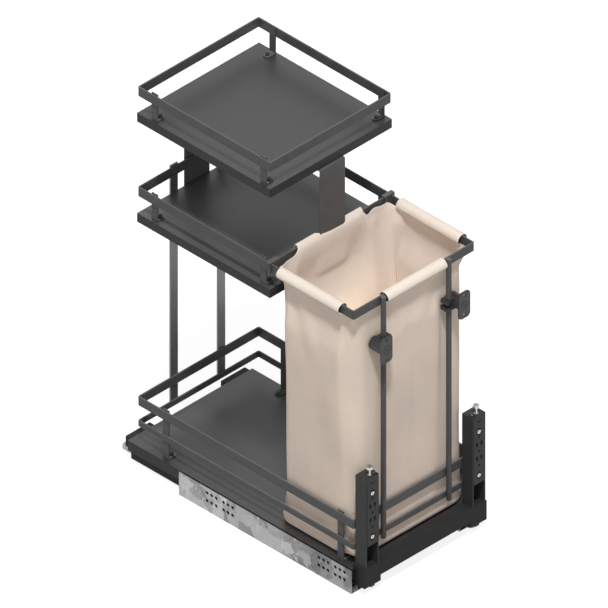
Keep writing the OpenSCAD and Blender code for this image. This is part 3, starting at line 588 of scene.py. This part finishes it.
def thicken(sheet, thickness, offset):
    """Makes a sheet into cloth; its thickness goes to both sides at offset 0, inward at -1."""
    take(sheet)
    shell = sheet.modifiers.new("cloth", "SOLIDIFY")
    shell.thickness = thickness
    shell.offset = offset
    bpy.ops.object.modifier_apply(modifier="cloth")
    smooth = sheet.modifiers.new("smooth", "SUBSURF")
    smooth.levels = 1
    smooth.render_levels = 1
    bpy.ops.object.modifier_apply(modifier="smooth")


def finish_piece(piece, name, finish, body):
    """Names a piece, brings its place into its mesh, smooths it and lets it ride on its body."""
    take(piece)
    bpy.ops.object.transform_apply(location=True, rotation=True, scale=True)
    piece.name = name
    piece.data.name = name
    piece.data.materials.clear()
    piece.data.materials.append(finish)
    bpy.ops.object.shade_smooth_by_angle(angle=math.radians(40))
    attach(piece, body)
    nothing_selected()
    return piece


print("modelling helpers ready")

# %% [markdown]
# ## The laundry bag
# A cut and sewn bag: four walls and a floor, with the top edge turned over the frame's bars as
# sleeves. It could be drawn as an outline and pulled up, but its two kinds of rounding differ. So
# it starts as a box whose lid is taken off, and then the upright edges and the bottom ones are
# bevelled in turn.

# %% Sizes of the bag and its bars
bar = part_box("bag_frame")
shelf_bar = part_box("mid_shelf_rail")
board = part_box("base_board")
tower_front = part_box("tower_plate_front")[0].y
shelf_edge = min(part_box("mid_shelf")[0].y, shelf_bar[0].y)
shelf_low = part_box("mid_shelf")[0].z

half_bar = 1.25 * mm
front_bar_y = bar[0].y + half_bar
side_bar_x = bar[1].x - half_bar
rear_bar_y = shelf_bar[0].y + half_bar
bar_z = bar[1].z - 7.5 * mm
rear_bar_z = shelf_bar[1].z - 8 * mm

side_gap = 8.65 * mm
end_gap = 7.25 * mm
bag_side = side_bar_x - side_gap
bag_front = front_bar_y + end_gap
bag_rear = rear_bar_y - end_gap
bag_floor = board[1].z + 0.9 * mm
rim_z = bar_z + 6 * mm
corner = 23 * mm
foot_round = 9 * mm

side_sleeve = (bar[0].y + 23.3 * mm, bar[1].y - 16.3 * mm)
front_sleeve = (-60 * mm, 60 * mm)
rear_sleeves = ((-70 * mm, -29 * mm), (28 * mm, 62 * mm))
print("bag walls at x", round(bag_side, 4), "y", round(bag_front, 4), round(bag_rear, 4))

# %% The box and its round edges
nothing_selected()
bpy.ops.mesh.primitive_cube_add(
    size=1, location=(0, (bag_front + bag_rear) / 2, (bag_floor + rim_z) / 2))
bag = bpy.context.object
bag.dimensions = (2 * bag_side, bag_rear - bag_front, rim_z - bag_floor)
bpy.ops.object.transform_apply(location=True, rotation=True, scale=True)
bpy.ops.object.mode_set(mode="EDIT")
pick(bag, "faces", lambda face: face.normal.z > 0.9)
bpy.ops.mesh.delete(type="FACE")
pick(bag, "edges", lambda edge: abs(edge.verts[0].co.z - edge.verts[1].co.z) > 0.1)
bpy.ops.mesh.bevel(offset=corner, offset_type="OFFSET", segments=8, profile=0.5)
pick(bag, "edges", lambda edge: max(v.co.z for v in edge.verts) < bag_floor + 0.5 * mm)
bpy.ops.mesh.bevel(offset=foot_round, offset_type="OFFSET", segments=3, profile=0.5)
print("bag box:", len(bmesh.from_edit_mesh(bag.data).faces), "faces")

# %% [markdown]
# ## The net of squares
# Cloth needs many small faces to bend, and faces that are about square crease evenly. Subdividing
# the box would crowd its rounded corners, so it is cut by parallel planes instead, 6 mm apart in
# height, width and depth. The corners have narrow faces already and are left out of the sideways
# cuts.

# %% The net of squares
step = 6 * mm


def slice_along(direction, start, end):
    """Cuts the whole bag by parallel planes a step apart."""
    count = round((end - start) / step)
    for n in range(1, count):
        bpy.ops.mesh.select_all(action="SELECT")
        at = start + (end - start) * n / count
        bpy.ops.mesh.bisect(plane_co=Vector(direction) * at, plane_no=direction)


slice_along((0, 0, 1), bag_floor + foot_round, rim_z)
slice_along((1, 0, 0), -bag_side + corner, bag_side - corner)
slice_along((0, 1, 0), bag_front + corner, bag_rear - corner)
bpy.ops.mesh.select_all(action="SELECT")
bpy.ops.mesh.remove_doubles(threshold=0.2 * mm)
bpy.ops.mesh.normals_make_consistent(inside=False)
bpy.ops.object.mode_set(mode="OBJECT")
print("bag net:", len(bag.data.vertices), "points")

# %% [markdown]
# ## Two numbers for each point
# A cloth simulation could drop the walls from their bars, but its folds fall where they like, and
# this bag is held on all four sides. So each point of the net is moved by a formula of where it
# is: how far round the rim, from the middle of the front toward the right, and how far below the
# sleeves.

# %% The way round the rim
def ease(value):
    """Smooth step from 0 to 1."""
    value = max(0.0, min(1.0, value))
    return value * value * (3 - 2 * value)


def out_of(point):
    """Direction out of the bag in plan, and how far out the point is, from 0 to 1."""
    core = Vector((
        max(-bag_side + corner, min(bag_side - corner, point.x)),
        max(bag_front + corner, min(bag_rear - corner, point.y)),
    ))
    off = Vector((point.x, point.y)) - core
    if off.length < 1e-6:
        return Vector((0, 0)), 0.0
    return off.normalized(), min(1.0, off.length / corner)


deep = bag_rear - bag_front
rim_length = 4 * bag_side + 2 * deep
way_to = {
    "front_right": bag_side,
    "rear_right": bag_side + deep,
    "rear_left": 3 * bag_side + deep,
    "front_left": 3 * bag_side + 2 * deep,
}
# A direction this close to an axis belongs to a straight wall and not to a corner.
straight = 0.02


def way_round(point, out):
    """How far round the rim a point is, from the middle of the front and to the right."""
    turn = math.degrees(math.atan2(abs(out.y), abs(out.x))) / 90
    if out.x >= 0 and out.y < 0:
        if out.x < straight:
            return point.x % rim_length
        return way_to["front_right"] + corner * (1 - 2 * turn)
    if out.x > 0 and out.y >= 0:
        if out.y < straight:
            return way_to["front_right"] + point.y - bag_front
        if out.x > straight:
            return way_to["rear_right"] + corner * (2 * turn - 1)
    if out.y > 0 and out.x <= straight:
        if out.x > -straight:
            return way_to["rear_right"] + bag_side - point.x
        return way_to["rear_left"] + corner * (1 - 2 * turn)
    if out.y > -straight:
        return way_to["rear_left"] + bag_rear - point.y
    if out.x < -straight:
        return way_to["front_left"] + corner * (2 * turn - 1)
    return (way_to["front_left"] + bag_side + point.x) % rim_length


print("rim length:", round(rim_length, 4))

# %% [markdown]
# ## The hem
# The cloth's upper edge is sewn down under each bar. Between the sleeves it is free: it rises at
# the corners, dips beside them, and climbs in two tabs to the higher bar at the rear. A list of
# measured heights, with a smooth step from each to the next, gives that line, and one height is
# quick to correct.

# %% The hem's rise and fall
sewn = bar_z - 8.3 * mm
right_start = bag_side + side_sleeve[0] - bag_front
right_end = bag_side + side_sleeve[1] - bag_front
left_start = way_to["rear_left"] + bag_rear - side_sleeve[1]
left_end = way_to["rear_left"] + bag_rear - side_sleeve[0]
rear_right = way_to["rear_right"]
rear_middle = rear_right + bag_side
tab_top = rear_bar_z + 15.5 * mm
# Each is a way round the rim and the height there.
hem_points = [
    (0, sewn), (0.060, sewn), (0.066, bar_z - 3.5 * mm), (0.100, bar_z - 1 * mm),
    (0.118, bar_z - 2.5 * mm), (right_start - 0.004, bar_z - 4 * mm),
    (right_start + 0.002, sewn), (right_end - 0.002, sewn), (right_end + 0.004, bar_z - 3 * mm),
    (rear_right - 0.003, bar_z + 4.5 * mm), (rear_right + 0.016, bar_z + 2 * mm),
    (rear_right + 0.032, bar_z + 5.5 * mm), (rear_middle - 0.071, bar_z - 1.5 * mm),
    (rear_middle - 0.065, bar_z + 1 * mm), (rear_middle - 0.0615, tab_top),
    (rear_middle - 0.0285, tab_top), (rear_middle - 0.024, bar_z + 9 * mm),
    (rear_middle, bar_z + 9.5 * mm), (rear_middle + 0.020, bar_z + 11 * mm),
    (rear_middle + 0.0295, tab_top), (rear_middle + 0.0695, tab_top),
    (rear_middle + 0.074, bar_z + 1 * mm), (rear_middle + 0.084, bar_z),
    (way_to["rear_left"], bar_z - 1 * mm), (left_start - 0.006, bar_z),
    (left_start + 0.003, sewn), (left_end - 0.002, sewn), (left_end + 0.005, bar_z - 3.5 * mm),
    (way_to["front_left"] + 0.004, bar_z - 1.5 * mm), (rim_length - 0.067, bar_z - 3 * mm),
    (rim_length - 0.060, sewn), (rim_length, sewn),
]


def hem_height(way):
    """Height of the cloth's upper edge, eased from one measured point to the next."""
    for (way_a, z_a), (way_b, z_b) in zip(hem_points, hem_points[1:]):
        if way_a <= way <= way_b:
            return z_a + (z_b - z_a) * ease((way - way_a) / (way_b - way_a))
    return sewn


hem_heights = [z for _, z in hem_points]
print("hem from", round(min(hem_heights), 4), "to", round(max(hem_heights), 4))

# %% [markdown]
# ## Creases and waves
# Creases run down from each sleeve's end, which is where the cloth is pulled. Noise that
# stretches more down than across gives the soft standing waves of a full-length wall; it goes
# round in a ring, so that no seam shows where the rim's length starts again. Near a sleeve the
# cloth is taut and the waves calm.

# %% Creases and waves
def crease(way, drop, start, lean, width, reach):
    """A soft crease that starts at a place of the rim and leans as it runs down the wall."""
    across = way - start - lean * drop
    profile = math.exp(-(across / (width + 0.10 * drop)) ** 2)
    return profile * math.exp(-drop / reach) * ease(drop / 0.012 + 0.2)


# Each is the place on the rim, the lean, the width, the reach, and the depth in millimetres.
creases = [
    (left_end + 0.002, -0.45, 0.006, 0.09, -3.4), (left_end - 0.016, -0.55, 0.010, 0.12, 1.6),
    (left_start + 0.004, 0.40, 0.007, 0.11, -3.0), (left_start + 0.022, 0.50, 0.010, 0.16, 1.8),
    (right_start, 0.40, 0.007, 0.10, -2.6), (right_end, -0.40, 0.007, 0.10, -2.6),
    (0.062, -0.38, 0.007, 0.10, -2.8), (0.045, -0.45, 0.010, 0.14, 1.4),
    (rim_length - 0.062, 0.38, 0.007, 0.10, -2.8), (rim_length - 0.046, 0.46, 0.010, 0.14, 1.4),
    (rear_middle - 0.080, 0.25, 0.010, 0.06, -3.6), (rear_middle - 0.050, -0.3, 0.010, 0.10, 1.6),
    (rear_middle + 0.085, -0.3, 0.010, 0.08, -2.4),
]
held_spans = [
    (right_start, right_end), (left_start, left_end), (-0.060, 0.060),
    (rim_length - 0.060, rim_length + 0.060),
]


def under_sleeve(way):
    """1 under a side or front sleeve, 0 elsewhere, eased over its last centimetre."""
    return max(ease((way - start) / 0.010) * ease((end - way) / 0.010) for start, end in held_spans)


def waves(way, z, drop, held):
    """How far soft waves push a wall out: broad, fine and slanting ones together."""
    angle = way / rim_length * 2 * math.pi
    ring = Vector((math.cos(angle), math.sin(angle), 0))
    broad = noise.noise(Vector((ring.x * 2.6, ring.y * 2.6, z * 3.5 + 7)))
    fine = noise.noise(Vector((ring.x * 7 + 5, ring.y * 7, z * 9)))
    slanting = noise.noise(Vector((way * 14 + z * 9, z * 5, 12.5)))
    hang = ease(drop / 0.05) * (0.35 + 0.65 * ease((z - bag_floor) / 0.05))
    calm = 0.85 * held * (1 - ease((drop - 0.030) / 0.040))
    return (2.2 * mm * broad + 0.8 * mm * fine + 1.3 * mm * slanting) * hang * (1 - calm)


print("creases:", len(creases))

# %% [markdown]
# ## Where the walls hang
# The walls start at the bars and lean in under them: at once where the hem is free, lower down
# where a sleeve holds the cloth out. The rear wall bellies back at the shelf's rail and runs
# forward below it, and the foot spreads where the floor lies on the board. Last, every wall is
# kept off what stands beside it, as real cloth is.

# %% Shapes of the walls
def lean_in(out, drop, held, rear):
    """How far a side or front wall stands out toward its bar, this far below the sleeves."""
    right = ease((out.x - 0.3) / 0.5)
    slack = right * ease((drop - 0.040) / 0.050) + (1 - right) * ease((drop - 0.060) / 0.30)
    leaning = (1 - held) * ease(drop / 0.026) + held * slack
    # Just under its sleeve the right wall sags 3 mm out; the left and front ones are drawn 6 mm in.
    tucked = held * ease((drop - 0.006) / 0.012) * (1 - ease((drop - 0.038) / 0.046))
    push = side_gap * (1 - leaning) * (1 - rear)
    return push + (3.0 * right - 6.0 * (1 - right)) * mm * tucked


def belly(x, z, drop, rear):
    """How far back the rear wall hangs: bent at the rail along the tabs, sloping beside them."""
    along_tabs = ease((x + 0.078) / 0.007) * ease((0.070 - x) / 0.007)
    knee = 5 * mm * ease(drop / 0.045) - 21 * mm * ease((drop - 0.045) / 0.085)
    slope = 3 * mm - 19 * mm * ease((drop + 0.01) / 0.14)
    low = 9 * mm * ease((drop - 0.14) / 0.2)
    whole = along_tabs * knee + (1 - along_tabs) * slope + low
    return whole * (rear * ease((z - bag_floor) / 0.10))


def kept_off(x, y, z, out, rear):
    """The point, kept off the clips in front, the bars, the shelf and the tower plate."""
    # In front, beside the sleeve, the wall stays behind its bar, because the clips need the room.
    if out.y < -0.3:
        y = max(y, front_bar_y + 4.2 * mm * ease((abs(x) - 0.056) / 0.012))
    # As high as the bars, the cloth stays on their inner side.
    if z > bar_z - 8.6 * mm:
        x = max(-side_bar_x + 2.2 * mm, min(side_bar_x - 2.2 * mm, x))
        y = max(front_bar_y + 2.2 * mm, y)
    # The rear tabs climb the inner side of the higher bar and bend over it.
    if rear > 0.5 and z > rear_bar_z - 4 * mm:
        lift = min(1.0, (z - rear_bar_z) / (15.5 * mm))
        y = max(y, rear_bar_y - 7.4 * mm * math.sqrt(max(0.0, 1 - lift * lift)))
    # The rear wall stays in front of the tower plate and, beside that, of the shelf's edge.
    beside_tower = ease((abs(x) - 0.026) / 0.010)
    below_shelf = ease((shelf_low - 1 * mm - z) / 0.012)
    near_shelf = tower_front + (shelf_edge - tower_front) * beside_tower - 1.1 * mm
    over_rail = rear > 0.5 and z > rear_bar_z + 8 * mm
    return Vector((x, min(y, rear_bar_y if over_rail else near_shelf + below_shelf * 4 * mm), z))


def over_feet(point):
    """Lifts the bag's floor where it lies on the uprights' feet and their screws."""
    off_row = abs(point.y - (board[0].y + 29 * mm))
    near = ease((abs(point.x) - 0.096) / 0.006) * ease((0.015 - off_row) / 0.006)
    point.z += 4.6 * mm * near * ease(1 - (point.z - bag_floor) / 0.03)
    return point


print("gap between wall and side bar:", round(side_gap, 5))


# %% Hanging the net
wall_reach = 0.98
foot_height = 0.055
foot_spread = 2.8 * mm


def lies(point, out, reach):
    """Where a point of the bag's floor lies: spread a little and gently uneven."""
    spread = 2.2 * mm * reach
    uneven = 1.1 * mm * noise.noise(Vector((point.x * 26, point.y * 26, 1))) * (1 - reach)
    return point + Vector((out.x * spread, out.y * spread, max(-0.3 * mm, uneven)))


def hangs(point, out):
    """Where a point of the bag's walls hangs."""
    way = way_round(point, out)
    rise = (hem_height(way) - bag_floor) / (rim_z - bag_floor)
    z = bag_floor + (point.z - bag_floor) * rise
    drop = max(0.0, sewn + 1 * mm - z)
    rear = ease((out.y - 0.3) / 0.5)
    held = under_sleeve(way)
    push = lean_in(out, drop, held, rear) + waves(way, z, drop, held)
    for start, lean, width, reach, depth in creases:
        push += depth * mm * crease(way, drop, start, lean, width, reach)
    foot = ease(1 - (z - bag_floor) / foot_height)
    push += foot * (foot_spread + 1.0 * mm * noise.noise(Vector((way * 24, 0, 4))))
    x = point.x + out.x * push
    y = point.y + out.y * push + belly(point.x, z, drop, rear)
    return kept_off(x, y, z, out, rear)


for vert in bag.data.vertices:
    out, reach = out_of(vert.co)
    moved = lies(vert.co, out, reach) if reach < wall_reach else hangs(vert.co, out)
    vert.co = over_feet(moved)
print("bag hung, highest point", round(max(vert.co.z for vert in bag.data.vertices), 4))

# %% [markdown]
# ## Thickness of the cloth
# So far the bag is a net without thickness, whose hem would look like a knife's edge. Canvas is
# nearly a millimetre thick, and the net is its middle, so the thickness goes half to each side.
# The finished cloth takes the place of the CAD shell.

# %% Thickness of the cloth
canvas_thickness = 0.9 * mm
thicken(bag, canvas_thickness, 0)
finish_piece(bag, "cotton_bag", cotton, "tray")
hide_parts("laundry_bag")
print("bag points:", len(bag.data.vertices))

# %% [markdown]
# ## The sleeves
# A sleeve is the wall's upper flap, folded over the bar and sewn shut under it. It is an open
# tube, fatter than the flat bar it hides, so its ends show a dark gap. A cylinder without caps is
# laid along the bar, cut into rings, drawn together underneath where the stitches pull, and given
# its thickness. The two at the rear are taller, because that bar lies behind the bag's wall.

# %% One sleeve
sleeve_radius = 9.5 * mm
sleeve_thickness = 1.2 * mm
ring_pitch = 4 * mm


def sleeve(name, start, end, tall, wide, seed):
    """A sewn cloth tube from start to end; tall stretches its upper half and wide its width."""
    axis = end - start
    along = axis.normalized()
    nothing_selected()
    bpy.ops.mesh.primitive_cylinder_add(
        vertices=36, radius=sleeve_radius, depth=axis.length, end_fill_type="NOTHING",
        location=(start + end) / 2)
    tube = bpy.context.object
    tube.rotation_euler = axis.to_track_quat("Z", "Y").to_euler()
    bpy.ops.object.transform_apply(location=True, rotation=True, scale=True)
    bpy.ops.object.mode_set(mode="EDIT")
    rings_wanted = round(axis.length / ring_pitch)
    for n in range(1, rings_wanted):
        bpy.ops.mesh.select_all(action="SELECT")
        bpy.ops.mesh.bisect(plane_co=start + axis * n / rings_wanted, plane_no=along)
    bpy.ops.object.mode_set(mode="OBJECT")
    for vert in tube.data.vertices:
        reach = (vert.co - start).dot(along)
        centre = start + along * reach
        out = vert.co - centre
        near_end = min(reach, axis.length - reach)
        pucker = noise.noise(Vector((reach * 90 + seed, out.z * 60, out.x * 60 + out.y * 60)))
        slack = noise.noise(Vector((reach * 26 + seed, 4.0, 0)))
        under = ease(-out.z / sleeve_radius)
        flare = 0.035 * math.exp(-near_end / 0.004)
        size = 1 + 0.012 * pucker + 0.030 * slack + 0.06 * under * pucker + flare
        rise = Vector((0, 0, out.z * size * (tall if out.z > 0 else 1)))
        side = Vector((out.x, out.y, 0)) * size * wide * (1 - 0.30 * under)
        vert.co = centre + side + rise
    thicken(tube, sleeve_thickness, -1)
    return finish_piece(tube, name, lit_sleeve_cotton, "tray")


print("sleeve radius:", round(sleeve_radius, 4))

# %% The five sleeves
low_sleeves = (
    ("sleeve_left", (-side_bar_x, side_sleeve[0]), (-side_bar_x, side_sleeve[1])),
    ("sleeve_right", (side_bar_x, side_sleeve[0]), (side_bar_x, side_sleeve[1])),
    ("sleeve_front", (front_sleeve[0], front_bar_y), (front_sleeve[1], front_bar_y)),
)
sleeves = [
    sleeve(name, Vector((*start, bar_z)), Vector((*end, bar_z)), 1.0, 1.0, seed)
    for seed, (name, start, end) in enumerate(low_sleeves, 1)
]
for name, (start_x, end_x) in zip(("sleeve_rear_left", "sleeve_rear_right"), rear_sleeves):
    start = Vector((start_x, rear_bar_y, rear_bar_z))
    end = Vector((end_x, rear_bar_y, rear_bar_z))
    sleeves.append(sleeve(name, start, end, 1.45, 0.6, 5))
print("sleeves:", len(sleeves), "points:", sum(len(tube.data.vertices) for tube in sleeves))

# %% [markdown]
# ## Stitches
# Each sleeve is closed by a row of lockstitches just under its bar. A ray is cast at the finished
# wall to find where each stitch lies, so the row follows the cloth. One stitch is a small round
# bead drawn out along the row and sunk to half its thickness; the beads are then joined into one
# piece of thread.

# %% Thread
thread, tree, shader = start_finish("cotton_thread", (0.62, 0.52, 0.42), 0.7)
twist = speckles(tree, 900.0, 2.0)
dress(tree, shader, ramp_between(tree, twist, (0.55, 0.46, 0.37), (0.70, 0.60, 0.49), 0.3, 0.7))
stitch_pitch = 4.2 * mm
bead_radius = 0.45 * mm
bead_stretch = 3.2
ray_start = 30 * mm
seam_margin = 2 * mm
seam_z = bar_z - 12.5 * mm


def stitch_row(name, start, end, inward):
    """Stitches on the bag's outside from start to end in plan; rays going inward find the wall."""
    start, end, inward = Vector((*start, seam_z)), Vector((*end, seam_z)), Vector(inward)
    along = (end - start).normalized()
    beads = []
    nothing_selected()
    for n in range(int((end - start).length / stitch_pitch)):
        origin = start + along * stitch_pitch * (n + 0.5) - inward * ray_start
        hit, spot = bag.ray_cast(origin, inward)[:2]
        if not hit:
            continue
        bpy.ops.mesh.primitive_uv_sphere_add(
            segments=8, ring_count=5, radius=bead_radius, location=spot)
        bead = bpy.context.object
        bead.rotation_euler = along.to_track_quat("Z", "Y").to_euler()
        bead.scale = (1, 1, bead_stretch)
        beads.append(bead)
    nothing_selected()
    for bead in beads:
        bead.select_set(True)
    bpy.context.view_layer.objects.active = beads[0]
    bpy.ops.object.join()
    return finish_piece(beads[0], name, thread, "tray")


seam_x = (front_sleeve[0] + seam_margin, front_sleeve[1] - seam_margin)
seam_y = (side_sleeve[0] + seam_margin, side_sleeve[1] - seam_margin)
rows = [
    stitch_row("stitches_front", (seam_x[0], front_bar_y), (seam_x[1], front_bar_y), (0, 1, 0)),
    stitch_row("stitches_left", (-side_bar_x, seam_y[0]), (-side_bar_x, seam_y[1]), (1, 0, 0)),
    stitch_row("stitches_right", (side_bar_x, seam_y[0]), (side_bar_x, seam_y[1]), (-1, 0, 0)),
]
print("stitch rows:", len(rows), "beads' faces:", sum(len(row.data.polygons) for row in rows))
